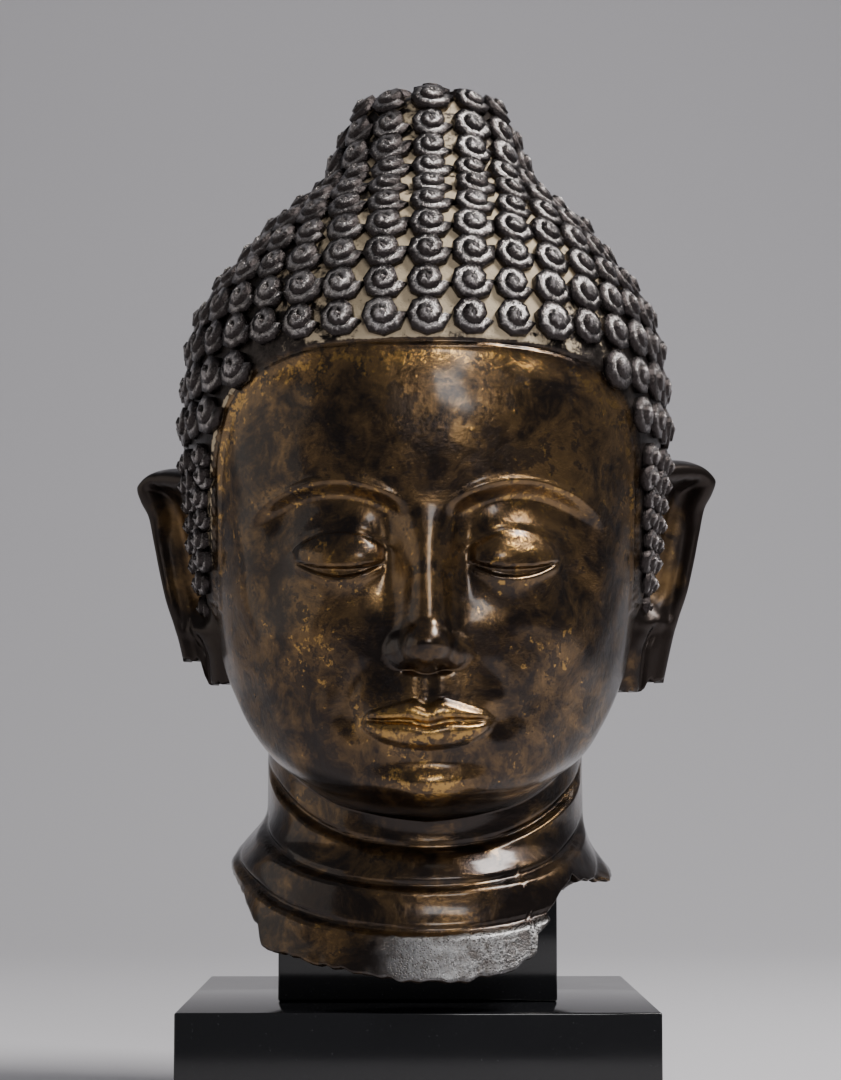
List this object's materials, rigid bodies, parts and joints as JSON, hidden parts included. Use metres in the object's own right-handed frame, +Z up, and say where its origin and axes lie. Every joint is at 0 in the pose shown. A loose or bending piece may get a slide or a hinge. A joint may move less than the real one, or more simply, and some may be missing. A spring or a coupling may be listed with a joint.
{
  "type": "bronze buddha head on a stand",
  "caption": "Hollow cast bronze buddha head with snail-shell curls, long broken ears and a broken neck, standing over a black post on a square black slab.",
  "frame": {"origin": "centre of the slab's underside", "axes": "+Z up, -Y the way the face looks, +X towards the left side of the face, which is on the right as it is looked at"},
  "size_m": [0.2367, 0.2259, 0.4257],
  "materials": {
    "bronze": "dark brown patina over cast bronze, traces of gilding, pale deposits between the curls",
    "stand": "polished black acrylic"
  },
  "bodies": {
    "root": {"head": "bronze", "post": "stand", "slab": "stand"}
  },
  "joints": []
}
